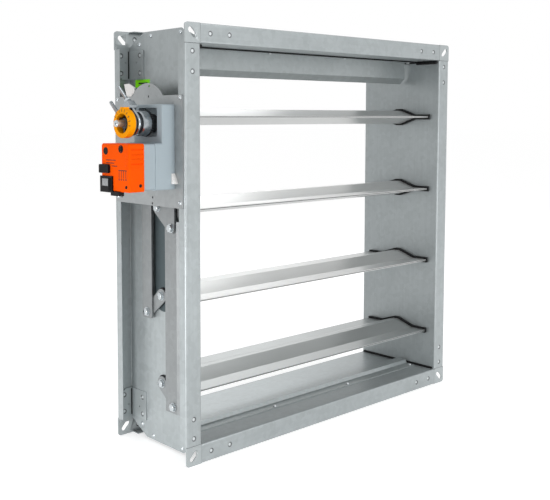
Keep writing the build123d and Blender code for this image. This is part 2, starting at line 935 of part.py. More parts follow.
def clamp_saddle():
    """The toothed jaw that the nuts press on the drum."""
    start = drum_diameter / 2 + 1
    end = start + saddle_height
    body = box(-saddle_length / 2, saddle_length / 2, start, end, -saddle_width / 2, saddle_width / 2)
    body = chamfer(body.edges().filter_by(Axis.X), 3)
    half = u_bolt_spacing / 2
    for z in (-half, half):
        body -= along_y(0, start - 1, end + 1, z, u_bolt_diameter + 0.3)
    for i in range(6):
        body -= Pos(0, start, -7.5 + 3 * i) * Rot(45, 0, 0) * Box(saddle_length + 2, 2, 2)
    return clamp_frame() * body


def clamp_nuts():
    start = drum_diameter / 2 + 1 + saddle_height
    half = u_bolt_spacing / 2
    nuts = []
    for z in (-half, half):
        nut = Rot(-90, 0, 0) * extrude(RegularPolygon(nut_size / 2, 6, major_radius=False), amount=nut_height)
        nut = Pos(0, start, z) * nut
        nut -= along_y(0, start - 1, start + nut_height + 1, z, u_bolt_diameter + 0.1)
        nuts.append(clamp_frame() * nut)
    return group(nuts)


def indicator():
    """The ring that shows the blades' position, with three spokes and a pointer."""
    x = clamp_start() - drum_length - disc_thickness - indicator_air
    y, z = spindle_depth, spindle_height
    rim = along_x(x - indicator_length, x, y, z, indicator_outer)
    body = bored(rim, y, z, indicator_inner)
    body += along_x(x - indicator_length + spoke_setback, x, y, z, indicator_hub)
    for i in range(3):
        spoke = box(x - indicator_length + spoke_setback, x, 0, indicator_inner / 2 + 1, -spoke_width / 2, spoke_width / 2)
        body += Pos(0, y, z) * Rot(30 + 120 * i, 0, 0) * spoke
    half = pointer_width / 2
    pointer = box(x - indicator_length, x, indicator_inner / 2 + 1, indicator_outer / 2 + pointer_stand, -half, half)
    body += Pos(0, y, z) * Rot(90, 0, 0) * pointer
    return bored(body, y, z, shaft_diameter + 2 * plug_clearance)


# Write the casing
save(side_wall(-1), "side_wall_left")
save(side_wall(1), "side_wall_right")
save(cross_wall(True), "top_wall")
save(cross_wall(False), "bottom_wall")
for side, side_name in ((-1, "left"), (1, "right")):
    for top, level_name in ((True, "top"), (False, "bottom")):
        for back, face_name in ((False, "front"), (True, "back")):
            save(corner_piece(side, top, back), f"corner_{face_name}_{level_name}_{side_name}")
save(top_stop(), "top_stop_strip")
save(bottom_stop(), "bottom_stop_strip")
save(stop_screws(), "stop_screws")
save(joint_seals(), "joint_seals")
left_rivets = rivets_at(wall_rivet_spots(), -web_outer)
right_rivets = [mirror(rivet, Plane.YZ) for rivet in left_rivets]
plate_rivets = rivets_at(plate_rivet_spots(), plate_back() - plate_sheet)
save(group(left_rivets + right_rivets + plate_rivets), "rivets")
for side, side_name in ((-1, "left"), (1, "right")):
    save(group(bush(side, z) for z in pivots), f"bushes_{side_name}")

# Write the blades and their linkage, counted from the top
for index in range(1, blade_count + 1):
    z = pivots[blade_count - index]
    save(blade(z), f"blade_{index}")
    save(end_seals(z), f"blade_{index}_end_seals")
    save(shaft(index), f"blade_{index}_shaft")
    save(crank(index), f"crank_{index}")
    save(crank_pin(index), f"crank_pin_{index}")
save(sector(2), "toothed_sector")
save(rear_bar(), "link_bar_rear")
save(front_bar(), "link_bar_front")

# Write the drive
save(drive_plate(), "drive_plate")
save(linkage_guard(), "linkage_guard")
save(spindle_bearing(), "spindle_bearing")
save(drive_spindle(), "drive_spindle")
save(drive_lever(), "drive_lever")
save(rear_housing(), "actuator_rear_housing")
save(front_housing(), "actuator_front_housing")
save(actuator_cover(), "actuator_cover")
save(release_button(), "release_button")
save(cable_gland(), "cable_gland")
save(actuator_screws(), "actuator_screws")
save(stop_bracket(), "actuator_stop_bracket")
save(clamp_ring(), "clamp_ring")
save(clamp_drum(), "clamp_drum")
save(u_bolt(), "clamp_u_bolt")
save(clamp_saddle(), "clamp_saddle")
save(clamp_nuts(), "clamp_nuts")
save(indicator(), "position_indicator")
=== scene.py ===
import math

import bmesh
import bpy
from mathutils import Matrix, Vector


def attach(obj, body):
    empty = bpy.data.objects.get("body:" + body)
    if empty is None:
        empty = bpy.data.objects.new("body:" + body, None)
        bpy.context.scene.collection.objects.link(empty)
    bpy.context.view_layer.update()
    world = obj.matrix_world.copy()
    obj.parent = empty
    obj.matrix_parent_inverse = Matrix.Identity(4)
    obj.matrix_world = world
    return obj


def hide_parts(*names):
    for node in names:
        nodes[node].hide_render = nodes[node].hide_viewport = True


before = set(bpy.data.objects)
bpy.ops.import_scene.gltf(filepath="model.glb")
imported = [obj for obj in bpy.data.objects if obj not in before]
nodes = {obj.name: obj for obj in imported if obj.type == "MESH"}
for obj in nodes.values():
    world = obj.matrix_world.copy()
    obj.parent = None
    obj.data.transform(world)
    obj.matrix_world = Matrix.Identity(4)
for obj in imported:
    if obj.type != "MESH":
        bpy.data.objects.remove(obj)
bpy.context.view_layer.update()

# Camera
# The photograph looks at the damper's front left corner from a little above its
# middle. The camera was fitted to the corners, slots, blades and rivets it shows.
camera_place = Vector((-1.32851, -1.14155, 0.61177))
camera_yaw = 0.70542
camera_pitch = 0.07364
camera_roll = -0.00335


def new_object(name, data):
    """Adds an object to the scene."""
    made = bpy.data.objects.new(name, data)
    bpy.context.scene.collection.objects.link(made)
    return made


camera_data = bpy.data.cameras.new("camera")
camera_data.sensor_width = 36.0
camera_data.lens = 56.39
camera_data.shift_x = 0.136
camera_data.shift_y = -0.12
camera = new_object("camera", camera_data)
camera_aim = Vector(
    (
        math.sin(camera_yaw) * math.cos(camera_pitch),
        math.cos(camera_yaw) * math.cos(camera_pitch),
        -math.sin(camera_pitch),
    )
)
camera_tilt = Matrix.Rotation(camera_roll, 3, "Z")
camera_turn = camera_aim.to_track_quat("-Z", "Y").to_matrix() @ camera_tilt
camera.matrix_world = Matrix.Translation(camera_place) @ camera_turn.to_4x4()
bpy.context.scene.camera = camera
bpy.context.scene.view_settings.view_transform = "Standard"

# Studio
# A pale floor and backdrop in soft light. The camera and reflections see white,
# and the lamps give the sheet metal its slow change of tone.
studio_light = 0.62
floor_glow_level = 0.5
floor_tone = 0.8
floor_size = 40.0
floor_drop = 0.0005


def add_node(tree, kind, **settings):
    """Adds a shader node. Settings whose name is a socket's set that socket."""
    node = tree.nodes.new(kind)
    for key, value in settings.items():
        if key in node.inputs:
            node.inputs[key].default_value = value
        else:
            setattr(node, key, value)
    return node


def reckoned(tree, operation, *terms, clamped=False):
    """The result of a math node that is fed by sockets and plain numbers."""
    node = add_node(tree, "ShaderNodeMath", operation=operation, use_clamp=clamped)
    for entry, term in zip(node.inputs, terms):
        if isinstance(term, bpy.types.NodeSocket):
            tree.links.new(term, entry)
        else:
            entry.default_value = term
    return node.outputs[0]


def remapped(tree, source, low, high, start=0.0, end=1.0):
    """Stretches a value that runs from start to end so that it runs from low to high."""
    node = add_node(tree, "ShaderNodeMapRange")
    node.inputs["From Min"].default_value = start
    node.inputs["From Max"].default_value = end
    node.inputs["To Min"].default_value = low
    node.inputs["To Max"].default_value = high
    tree.links.new(source, node.inputs["Value"])
    return node.outputs["Result"]


def looked_at(tree):
    """Is 1 for rays from the camera, from a reflection or through glass, and else 0."""
    paths = add_node(tree, "ShaderNodeLightPath").outputs
    plain = reckoned(tree, "ADD", paths["Is Camera Ray"], paths["Is Glossy Ray"], clamped=True)
    return reckoned(tree, "ADD", plain, paths["Is Transmission Ray"], clamped=True)


def object_from(name, mesh):
    """Turns a bmesh into an object and frees the bmesh."""
    data = bpy.data.meshes.new(name)
    mesh.to_mesh(data)
    mesh.free()
    return new_object(name, data)


def softbox(name, place, aim, size, watts, spread=180):
    """A square area lamp aimed at a point, with the angle of its beam in degrees."""
    lamp = bpy.data.lights.new(name, "AREA")
    lamp.size = size
    lamp.energy = watts
    lamp.spread = math.radians(spread)
    holder = new_object(name, lamp)
    holder.location = place
    holder.rotation_euler = (Vector(aim) - Vector(place)).to_track_quat("-Z", "Y").to_euler()


world = bpy.data.worlds.new("studio")
bpy.context.scene.world = world
world.use_nodes = True
sky = world.node_tree
sky.nodes.clear()
backdrop = add_node(sky, "ShaderNodeBackground", Color=(1, 1, 1, 1))
world_out = add_node(sky, "ShaderNodeOutputWorld")
sky.links.new(remapped(sky, looked_at(sky), studio_light, 1.0), backdrop.inputs["Strength"])
sky.links.new(backdrop.outputs["Background"], world_out.inputs["Surface"])

softbox("key_lamp", place=(0.6, -2.65, 2.2), aim=(0, 0, 0.3), size=1.5, watts=20)
softbox("low_lamp", place=(-0.1, -1.9, 0.3), aim=(0, 0, 0.05), size=0.9, watts=11)
left_web = (-0.36, 0.12, 0.08)
softbox("left_lamp", place=(-1.35, 0, 0.2), aim=left_web, size=0.5, watts=1.9, spread=80)
softbox("back_lamp", place=(1.6, 2.4, 2.2), aim=(0, 0, 0.4), size=1.6, watts=20)

floor_mesh = bmesh.new()
bmesh.ops.create_grid(floor_mesh, x_segments=1, y_segments=1, size=floor_size)
floor = object_from("floor", floor_mesh)
floor.location.z = -floor_drop
floor_paint = bpy.data.materials.new("pale_floor")
floor_paint.use_nodes = True
floor_tree = floor_paint.node_tree
floor_tree.nodes.clear()
floor_color = (floor_tone, floor_tone, floor_tone, 1)
floor_shade = add_node(floor_tree, "ShaderNodeBsdfDiffuse", Color=floor_color)
floor_level = reckoned(floor_tree, "MULTIPLY", looked_at(floor_tree), floor_glow_level)
floor_glow = add_node(floor_tree, "ShaderNodeEmission", Color=(1, 1, 1, 1))
floor_sum = add_node(floor_tree, "ShaderNodeAddShader")
floor_out = add_node(floor_tree, "ShaderNodeOutputMaterial")
floor_tree.links.new(floor_level, floor_glow.inputs["Strength"])
floor_tree.links.new(floor_shade.outputs[0], floor_sum.inputs[0])
floor_tree.links.new(floor_glow.outputs[0], floor_sum.inputs[1])
floor_tree.links.new(floor_sum.outputs[0], floor_out.inputs["Surface"])
floor.data.materials.append(floor_paint)

# Casing walls
# Four channels bent from galvanised sheet. The flanges are pressed onto the corner
# pieces with round dimples, and end in a fine gap beside each corner's square.
sheet_tone = (0.382, 0.416, 0.424)
sheet_roughness = 0.38
spangle_size = 0.009
casing_half = 0.390
casing_height = 0.780
casing_depth = 0.210
flange_width = 0.035
web_face = 0.3565
flange_middle = casing_half - flange_width / 2
corner_line = casing_half - flange_width
top_line = casing_height - flange_width
sides = (("left", -1), ("right", 1))
dimple_across = 0.0100
dimple_depth = 0.0012
dimple_floor_radius = 0.0029
dimple_shoulder = 0.85
dimple_shoulder_depth = 0.6
dimple_flare = 1.1
dimple_flare_height = 0.5
gap_width = 0.0007
gap_depth = 0.0012
slot_radius = 0.0290
slot_depth = 0.0012
slot_y = 0.1060
slot_low = 0.2860
slot_run = 0.2300
level_dimples = (0.0235, 0.0685)
upright_dimples = (0.0140, 0.0490)
overshoot = 0.001
merge_distance = 0.000005
sharp_angle = math.radians(32)


def socket(tree, name, kind, way="INPUT", value=None):
    """Adds an input or an output to a node group."""
    made = tree.interface.new_socket(name=name, in_out=way, socket_type=kind)
    if value is not None:
        made.default_value = value


def surface_outputs(tree):
    """Gives a node group the three outputs that every finish here has."""
    socket(tree, "Color", "NodeSocketColor", "OUTPUT")
    socket(tree, "Roughness", "NodeSocketFloat", "OUTPUT")
    socket(tree, "Height", "NodeSocketFloat", "OUTPUT")


def tinted(tree, tone, factor):
    """A colour made brighter or darker by a factor."""
    node = add_node(tree, "ShaderNodeVectorMath", operation="SCALE")
    tree.links.new(tone, node.inputs[0])
    tree.links.new(factor, node.inputs["Scale"])
    return node.outputs[0]


def zinc_group():
    """Zinc coating: spangle cells, roller streaks and soft stains."""
    tree = bpy.data.node_groups.new("zinc_coat", "ShaderNodeTree")
    socket(tree, "Tone", "NodeSocketColor", value=(0.6, 0.6, 0.6, 1))
    socket(tree, "Cells per metre", "NodeSocketFloat", value=150.0)
    socket(tree, "Spangle", "NodeSocketFloat", value=0.1)
    socket(tree, "Streak", "NodeSocketFloat", value=0.1)
    socket(tree, "Streak stretch", "NodeSocketVector", value=(1, 1, 1))
    socket(tree, "Roughness", "NodeSocketFloat", value=0.4)
    surface_outputs(tree)
    given = add_node(tree, "NodeGroupInput").outputs
    outer = add_node(tree, "NodeGroupOutput")
    place = add_node(tree, "ShaderNodeTexCoord").outputs["Object"]
    link = tree.links.new
    cells = add_node(tree, "ShaderNodeTexVoronoi", feature="F1")
    link(place, cells.inputs["Vector"])
    link(given["Cells per metre"], cells.inputs["Scale"])
    cell_tone = add_node(tree, "ShaderNodeSeparateColor")
    link(cells.outputs["Color"], cell_tone.inputs[0])
    stretched = add_node(tree, "ShaderNodeVectorMath", operation="MULTIPLY")
    link(place, stretched.inputs[0])
    link(given["Streak stretch"], stretched.inputs[1])
    streaks = add_node(tree, "ShaderNodeTexNoise", Scale=1.0, Detail=4.0, Roughness=0.6)
    link(stretched.outputs[0], streaks.inputs["Vector"])
    stains = add_node(tree, "ShaderNodeTexNoise", Scale=9.0, Detail=3.0, Roughness=0.5)
    link(place, stains.inputs["Vector"])
    spangle = remapped(tree, cell_tone.outputs[0], -0.5, 0.5)
    spangle_part = reckoned(tree, "MULTIPLY", spangle, given["Spangle"])
    streak = remapped(tree, streaks.outputs[0], -1.0, 1.0)
    streak_part = reckoned(tree, "MULTIPLY", streak, given["Streak"])
    stain_part = remapped(tree, stains.outputs[0], -0.10, 0.10)
    change = reckoned(tree, "ADD", spangle_part, streak_part)
    total = reckoned(tree, "ADD", change, stain_part)
    factor = reckoned(tree, "ADD", total, 1.0)
    link(tinted(tree, given["Tone"], factor), outer.inputs["Color"])
    dull = reckoned(tree, "MULTIPLY_ADD", total, 0.35, given["Roughness"])
    link(dull, outer.inputs["Roughness"])
    link(total, outer.inputs["Height"])
    return tree


zinc_coat = zinc_group()


def coated(name, group, metallic, bump, distance=0.0004, specular=0.5, **values):
    """A material whose colour, roughness and bump come from a node group."""
    material = bpy.data.materials.new(name)
    material.use_nodes = True
    tree = material.node_tree
    tree.nodes.clear()
    surface = add_node(tree, "ShaderNodeGroup", node_tree=group)
    for key, value in values.items():
        surface.inputs[key.replace("_", " ")].default_value = value
    shader = add_node(tree, "ShaderNodeBsdfPrincipled", Metallic=metallic)
    shader.inputs["Specular IOR Level"].default_value = specular
    relief = add_node(tree, "ShaderNodeBump", Strength=bump, Distance=distance)
    out = add_node(tree, "ShaderNodeOutputMaterial")
    tree.links.new(surface.outputs["Color"], shader.inputs["Base Color"])
    tree.links.new(surface.outputs["Roughness"], shader.inputs["Roughness"])
    tree.links.new(surface.outputs["Height"], relief.inputs["Height"])
    tree.links.new(relief.outputs["Normal"], shader.inputs["Normal"])
    tree.links.new(shader.outputs[0], out.inputs["Surface"])
    return material


def wear(material, *names):
    """Gives CAD nodes a material."""
    for name in names:
        data = nodes[name].data
        data.materials.clear()
        data.materials.append(material)
        for polygon in data.polygons:
            polygon.material_index = 0


def sheet_metal(name, tone, stretch, streak=0.09, roughness=sheet_roughness, metallic=0.5):
    """Galvanised sheet. Its streaks run along the axis that is stretched least."""
    return coated(
        name,
        zinc_coat,
        metallic=metallic,
        bump=0.05,
        Tone=(*tone, 1),
        Cells_per_metre=1 / spangle_size,
        Spangle=0.10,
        Streak=streak,
        Streak_stretch=stretch,
        Roughness=roughness,
    )


def facing(direction, x, y, z):
    """A placing that points a shape's own Z along -X, +X, -Y or +Y."""
    turns = {
        "left": Matrix.Rotation(-math.pi / 2, 4, "Y"),
        "right": Matrix.Rotation(math.pi / 2, 4, "Y"),
        "front": Matrix.Rotation(math.pi / 2, 4, "X"),
        "back": Matrix.Rotation(-math.pi / 2, 4, "X"),
    }
    return Matrix.Translation((x, y, z)) @ turns[direction]


def turned(mesh, profile, place, steps=20):
    """Spins a profile of (radius, height) points into a round shape at a placing."""
    before = set(mesh.verts)
    ring = [mesh.verts.new((radius, 0.0, height)) for radius, height in profile]
    lines = [mesh.edges.new(pair) for pair in zip(ring, ring[1:])]
    bmesh.ops.spin(
        mesh,
        geom=ring + lines,
        cent=(0, 0, 0),
        axis=(0, 0, 1),
        angle=2 * math.pi,
        steps=steps,
        use_merge=True,
    )
    made = [vert for vert in mesh.verts if vert not in before]
    bmesh.ops.transform(mesh, matrix=place, verts=made)


def disc(radius, low, high):
    """The profile of a plain round disc or rod between two heights."""
    return [(0.0, low), (radius, low), (radius, high), (0.0, high)]


def softened(mesh, lines, offset):
    """Rounds edges by the given amount."""
    bmesh.ops.bevel(
        mesh,
        geom=lines,
        offset=offset,
        affect="EDGES",
        segments=2,
        profile=0.5,
        material=-1,
    )


def block(mesh, x_span, y_span, z_span, edge=0.0):
    """A box over spans of X, Y and Z with its edges rounded by the given amount."""
    spans = [sorted(span) for span in (x_span, y_span, z_span)]
    low, high = (Vector(corner) for corner in zip(*spans))
    place = Matrix.Translation((low + high) / 2) @ Matrix.Diagonal((*(high - low), 1.0))
    made = bmesh.ops.create_cube(mesh, size=1.0, matrix=place)["verts"]
    if edge:
        softened(mesh, list({line for vert in made for line in vert.link_edges}), edge)


def raised(mesh, faces, height):
    """Gives flat faces a thickness and returns the new vertices."""
    thick = bmesh.ops.extrude_face_region(mesh, geom=faces)["geom"]
    lifted = [item for item in thick if isinstance(item, bmesh.types.BMVert)]
    bmesh.ops.translate(mesh, vec=(0, 0, height), verts=lifted)
    return lifted


def slot_slab(mesh, radius, thickness):
    """An upright slab with round ends that stands on the floor of the linkage slot."""
    rim = bmesh.ops.create_circle(mesh, cap_ends=True, segments=40, radius=radius)["verts"]
    faces = list({face for vert in rim for face in vert.link_faces})
    made = rim + raised(mesh, faces, thickness)
    floor_place = facing("left", -web_face + slot_depth, slot_y, slot_low)
    bmesh.ops.transform(mesh, matrix=floor_place, verts=made)
    upper = [vert for vert in made if vert.co.z > slot_low]
    bmesh.ops.translate(mesh, vec=(0, 0, slot_run), verts=upper)


def healed(mesh):
    """Merges doubled vertices and turns every face outwards."""
    bmesh.ops.remove_doubles(mesh, verts=mesh.verts[:], dist=merge_distance)
    bmesh.ops.recalc_face_normals(mesh, faces=mesh.faces[:])


def finished(name, mesh, material, body, slot, *stands_for):
    """Turns a bmesh into an object that rides on a body."""
    healed(mesh)
    made = object_from(name, mesh)
    made.data.materials.append(material)
    made.data.polygons.foreach_set("use_smooth", [True] * len(made.data.polygons))
    made.data.set_sharp_from_angle(angle=sharp_angle)
    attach(made, body)
    if stands_for:
        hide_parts(*stands_for)
    return made


def dimple(mesh, place, hollows):
    """A round press mark. Its middle is noted, so that its slope can get painted shade and its
    floor a painted highlight.
    """
    hollows.append(place.translation.copy())
    reach = dimple_across / 2
    hollow = [
        (0.0, -dimple_depth),
        (dimple_floor_radius, -dimple_depth),
        (reach * dimple_shoulder, -dimple_depth * dimple_shoulder_depth),
        (reach, 0.0),
        (reach * dimple_flare, dimple_depth * dimple_flare_height),
        (0.0, dimple_depth * dimple_flare_height),
    ]
    turned(mesh, hollow, place, 16)


def flange_dimples(mesh, x, z, hollows):
    """A press mark in the front flange and one behind it in the back flange."""
    dimple(mesh, facing("front", x, 0.0, z), hollows)
    dimple(mesh, facing("back", x, casing_depth, z), hollows)


def flange_gaps(mesh, x_span, z_span):
    """A fine gap sunk into the front flange and one into the back flange."""
    block(mesh, x_span, (-overshoot, gap_depth), z_span)
    block(mesh, x_span, (casing_depth - gap_depth, casing_depth + overshoot), z_span)


def pressed(name, node, material, cutter, hollows, slot):
    """A copy of a CAD wall or corner with dimples and gaps pressed into it."""
    healed(cutter)
    tool = object_from(name + "_tool", cutter)
    mesh = bmesh.new()
    mesh.from_mesh(nodes[node].data)
    bmesh.ops.remove_doubles(mesh, verts=mesh.verts[:], dist=merge_distance)
    blank = object_from(name + "_blank", mesh)
    cut = blank.modifiers.new("cut", "BOOLEAN")
    cut.operation = "DIFFERENCE"
    cut.solver = "MANIFOLD"
    cut.object = tool
    bpy.context.view_layer.update()
    result = bmesh.new()
    result.from_object(blank, bpy.context.evaluated_depsgraph_get())
    bpy.data.objects.remove(blank)
    bpy.data.objects.remove(tool)
    made = finished(name, result, material, "casing", slot, node)
    # Painted shade on each dimple's slope and a painted highlight on its floor, picked by face
    # position.
    made.data.materials.append(painted_shade_dimple_metal)
    made.data.materials.append(dimple_floor_painted_highlight)
    slope_reach = dimple_across * 0.53
    floor_reach = math.hypot(dimple_floor_radius, dimple_depth) * 0.9
    largest_facet = dimple_across**2 / 10
    for polygon in made.data.polygons:
        for middle in hollows:
            away = (polygon.center - middle).length
            if away < slope_reach and polygon.area < largest_facet:
                polygon.material_index = 2 if away < floor_reach else 1
    level_faces = made.modifiers.new("flat_faces", "WEIGHTED_NORMAL")
    level_faces.keep_sharp = True
    level_faces.weight = 80


# Painted shade for the dimples' slopes and a painted highlight for their floors.
painted_shade_dimple_metal = sheet_metal("dimple_slope_painted_shade", (0.14, 0.15, 0.155), stretch=(60, 60, 60))
dimple_floor_painted_highlight = sheet_metal("dimple_floor_painted_highlight", (0.66, 0.70, 0.71), stretch=(60, 60, 60))
upright_sheet = sheet_metal("galvanised_upright", sheet_tone, stretch=(260, 260, 6))
level_sheet = sheet_metal("galvanised_level", sheet_tone, stretch=(6, 260, 260))
for side, sign in sides:
    tool = bmesh.new()
    hollows = []
    for height in upright_dimples:
        for z in (flange_width + height, top_line - height):
            flange_dimples(tool, sign * flange_middle, z, hollows)
    if side == "left":
        slot_slab(tool, slot_radius, slot_depth + overshoot)
    x_span = (sign * (corner_line - overshoot), sign * (casing_half + overshoot))
    flange_gaps(tool, x_span, (flange_width - overshoot, flange_width + gap_width))
    flange_gaps(tool, x_span, (top_line - gap_width, top_line + overshoot))
    channel = f"upright_channel_{side}"
    wall = f"side_wall_{side}"
    pressed(channel, wall, upright_sheet, tool, hollows, "galvanised_sheet")
for level, z in (("top", casing_height - flange_width / 2), ("bottom", flange_width / 2)):
    tool = bmesh.new()
    hollows = []
    z_span = (z - flange_width / 2 - overshoot, z + flange_width / 2 + overshoot)
    flange_gaps(tool, (-corner_line - overshoot, -corner_line + gap_width), z_span)
    flange_gaps(tool, (corner_line - gap_width, corner_line + overshoot), z_span)
    for inset in level_dimples:
        for x in (-corner_line + inset, corner_line - inset):
            flange_dimples(tool, x, z, hollows)
    channel = f"level_channel_{level}"
    pressed(channel, f"{level}_wall", level_sheet, tool, hollows, "galvanised_sheet")

# Corner pieces
# Zinc-plated pressings pushed into the ends of the flange channels. Round dimples
# and a small hole lock each arm to the wall, and a dark gap parts its two legs.
corner_tone = (0.415, 0.450, 0.457)
leg_face = 0.3585
flange_leg_sink = 0.0035
arm_dimples = (0.011, 0.044)
arm_hole = 0.024
flange_dimple_x = 0.376
flange_dimple_z = 0.014
web_dimple_depth = 0.038
flange_hole_x = 0.366
web_hole_depth = 0.029
arm_hole_radius = 0.0018
arm_hole_depth = 0.003
corner_metal = coated(
    "plated_corner",
    zinc_coat,
    metallic=0.55,
    bump=0.05,
    Tone=(*corner_tone, 1),
    Cells_per_metre=260.0,
    Spangle=0.03,
    Streak=0.04,
    Streak_stretch=(40, 40, 40),
    Roughness=0.34,
)
drilled = disc(arm_hole_radius, -arm_hole_depth, overshoot)
flange_faces = (("front", "back", 0.0, 1), ("back", "front", casing_depth, -1))
for face, toward, face_y, inward in flange_faces:
    flange_y = face_y + inward * flange_leg_sink
    for level, level_z, up in (("top", casing_height, -1), ("bottom", 0.0, 1)):
        for side, sign in sides:
            tool = bmesh.new()
            hollows = []
            for reach in arm_dimples:
                z = level_z + up * (flange_width + reach)
                web_y = face_y + inward * web_dimple_depth
                across = sign * (corner_line - reach)
                arm_z = level_z + up * flange_dimple_z
                dimple(tool, facing(toward, sign * flange_dimple_x, flange_y, z), hollows)
                dimple(tool, facing(side, sign * leg_face, web_y, z), hollows)
                dimple(tool, facing(toward, across, flange_y, arm_z), hollows)
            z = level_z + up * (flange_width + arm_hole)
            hole_y = face_y + inward * web_hole_depth
            turned(tool, drilled, facing(toward, sign * flange_hole_x, flange_y, z), 12)
            turned(tool, drilled, facing(side, sign * leg_face, hole_y, z), 12)
            name = f"{face}_{level}_{side}"
            pressing = f"corner_pressing_{name}"
            corner = f"corner_{name}"
            pressed(pressing, corner, corner_metal, tool, hollows, "pressed_corner_steel")

# Stop strips
# Two bent strips screwed across the duct. The end blades close against them.
strip_tone = (0.385, 0.42, 0.426)
strip_metal = sheet_metal(
    "galvanised_strip", strip_tone, stretch=(5, 300, 300), streak=0.03, roughness=0.34
)
wear(strip_metal, "top_stop_strip", "bottom_stop_strip")

# Blades
# Hollow extruded aluminium, with a folded thin edge front and back. The die leaves
# fine lines along each blade. The lowest blade is a little rougher, and its darker
# tone is painted shade.
blade_numbers = (1, 2, 3, 4)


def extruded(name, tone, roughness):
    """Aluminium with the fine lines of the die along X."""
    return coated(
        name,
        zinc_coat,
        metallic=0.6,
        bump=0.04,
        Tone=(*tone, 1),
        Cells_per_metre=300.0,
        Spangle=0.01,
        Streak=0.07,
        Streak_stretch=(1.2, 420, 420),
        Roughness=roughness,
    )


blade_metal = extruded("extruded_aluminium", (0.57, 0.58, 0.575), 0.32)
# Painted shade: the lowest blade's darker tone.
painted_shade_blade_metal = extruded("extruded_aluminium_painted_shade", (0.395, 0.415, 0.414), 0.34)
wear(blade_metal, "blade_1", "blade_2", "blade_3")
wear(painted_shade_blade_metal, "blade_4")

# Blade end seals
# A black rubber moulding plugged into each end of a blade. Its lip stands round
# the blade's outline and wipes the wall.


def moulded_group():
    """Moulded plastic or rubber: fine grain, soft flow marks and dust."""
    tree = bpy.data.node_groups.new("moulded_skin", "ShaderNodeTree")
    socket(tree, "Tone", "NodeSocketColor", value=(0.1, 0.1, 0.1, 1))
    socket(tree, "Grain per metre", "NodeSocketFloat", value=900.0)
    socket(tree, "Mottle", "NodeSocketFloat", value=0.1)
    socket(tree, "Dust", "NodeSocketFloat", value=0.1)
    socket(tree, "Roughness", "NodeSocketFloat", value=0.4)
    surface_outputs(tree)
    given = add_node(tree, "NodeGroupInput").outputs
    outer = add_node(tree, "NodeGroupOutput")
    place = add_node(tree, "ShaderNodeTexCoord").outputs["Object"]
    link = tree.links.new
    grain = add_node(tree, "ShaderNodeTexNoise", Detail=3.0)
    link(place, grain.inputs["Vector"])
    link(given["Grain per metre"], grain.inputs["Scale"])
    flow = add_node(tree, "ShaderNodeTexNoise", Scale=30.0, Detail=4.0)
    link(place, flow.inputs["Vector"])
    mottle = remapped(tree, flow.outputs[0], -1.0, 1.0)
    factor = reckoned(tree, "MULTIPLY_ADD", mottle, given["Mottle"], 1.0)
    specks = add_node(tree, "ShaderNodeTexNoise", Scale=260.0, Detail=6.0, Roughness=0.8)
    link(place, specks.inputs["Vector"])
    speck_mask = remapped(tree, specks.outputs[0], 0.0, 1.0, start=0.55, end=0.8)
    dust = reckoned(tree, "MULTIPLY", speck_mask, given["Dust"])
    dusted = add_node(tree, "ShaderNodeMix", data_type="RGBA")
    dusted.inputs["B"].default_value = (0.5, 0.49, 0.47, 1)
    link(dust, dusted.inputs["Factor"])
    link(tinted(tree, given["Tone"], factor), dusted.inputs["A"])
    link(dusted.outputs["Result"], outer.inputs["Color"])
    dull = reckoned(tree, "MULTIPLY_ADD", dust, 0.5, given["Roughness"])
    link(dull, outer.inputs["Roughness"])
    link(grain.outputs[0], outer.inputs["Height"])
    return tree


moulded_skin = moulded_group()


def moulded(name, tone, roughness, mottle=0.04, dust=0.06, bump=0.1, specular=0.3):
    """Plastic, rubber, sealant or print."""
    return coated(
        name,
        moulded_skin,
        metallic=0.0,
        bump=bump,
        distance=0.0001,
        specular=specular,
        Tone=(*tone, 1),
        Grain_per_metre=900.0,
        Mottle=mottle,
        Dust=dust,
        Roughness=roughness,
    )


seal_rubber = moulded("seal_rubber", (0.010, 0.010, 0.011), 0.5, specular=0.2)
for number in blade_numbers:
    wear(seal_rubber, f"blade_{number}_end_seals")

# Joint seals and leg gap shade
# Black sealant in the corners of the duct. A black strip of the same material in the
# gap between the two legs of each corner piece is painted shade.
leg_shade_reach = 0.0017
leg_shade_near = 0.0033
leg_shade_far = 0.0042
leg_shade_starts = (0.037, 0.691)
leg_shade_length = 0.052
leg_shade_edge = 0.0002
# Black sealant, also used for black strips that are painted shade in fine gaps and joints.
sealant_and_painted_shade = moulded("joint_sealant_and_painted_shade", (0.008, 0.008, 0.009), 0.55, specular=0.2)
wear(sealant_and_painted_shade, "joint_seals")
# Painted shade: a black strip in the gap between the legs of each corner piece.
leg_gap_shade = bmesh.new()
for face_y, inward in ((0.0, 1), (casing_depth, -1)):
    y_span = (face_y + inward * leg_shade_near, face_y + inward * leg_shade_far)
    for sign in (-1, 1):
        x_span = (sign * leg_face, sign * (leg_face + leg_shade_reach))
        for start in leg_shade_starts:
            block(leg_gap_shade, x_span, y_span, (start, start + leg_shade_length), leg_shade_edge)
finished("corner_leg_gap_shade", leg_gap_shade, sealant_and_painted_shade, "casing", "grey_sealant")

# Flange gaps
# Black strips sunk in the fine gaps where the flange channels end beside the square
# of each corner piece are painted shade.
line_sink = 0.0005
square_margin = 0.0006
rim_margin = 0.0004
line_run = flange_width - square_margin - rim_margin
# Painted shade: black strips in the flange gaps.
gap_shade_lines = bmesh.new()
for y_span in ((line_sink, gap_depth), (casing_depth - gap_depth, casing_depth - line_sink)):
    for sign in (-1, 1):
        level_x = (sign * (corner_line + square_margin), sign * (casing_half - rim_margin))
        upright_x = (sign * corner_line, sign * (corner_line - gap_width))
        for z in (flange_width, top_line - gap_width):
            block(gap_shade_lines, level_x, y_span, (z, z + gap_width))
        for z in (rim_margin, top_line + square_margin):
            block(gap_shade_lines, upright_x, y_span, (z, z + line_run))
finished("flange_gap_shade_lines", gap_shade_lines, sealant_and_painted_shade, "casing", "grey_sealant")

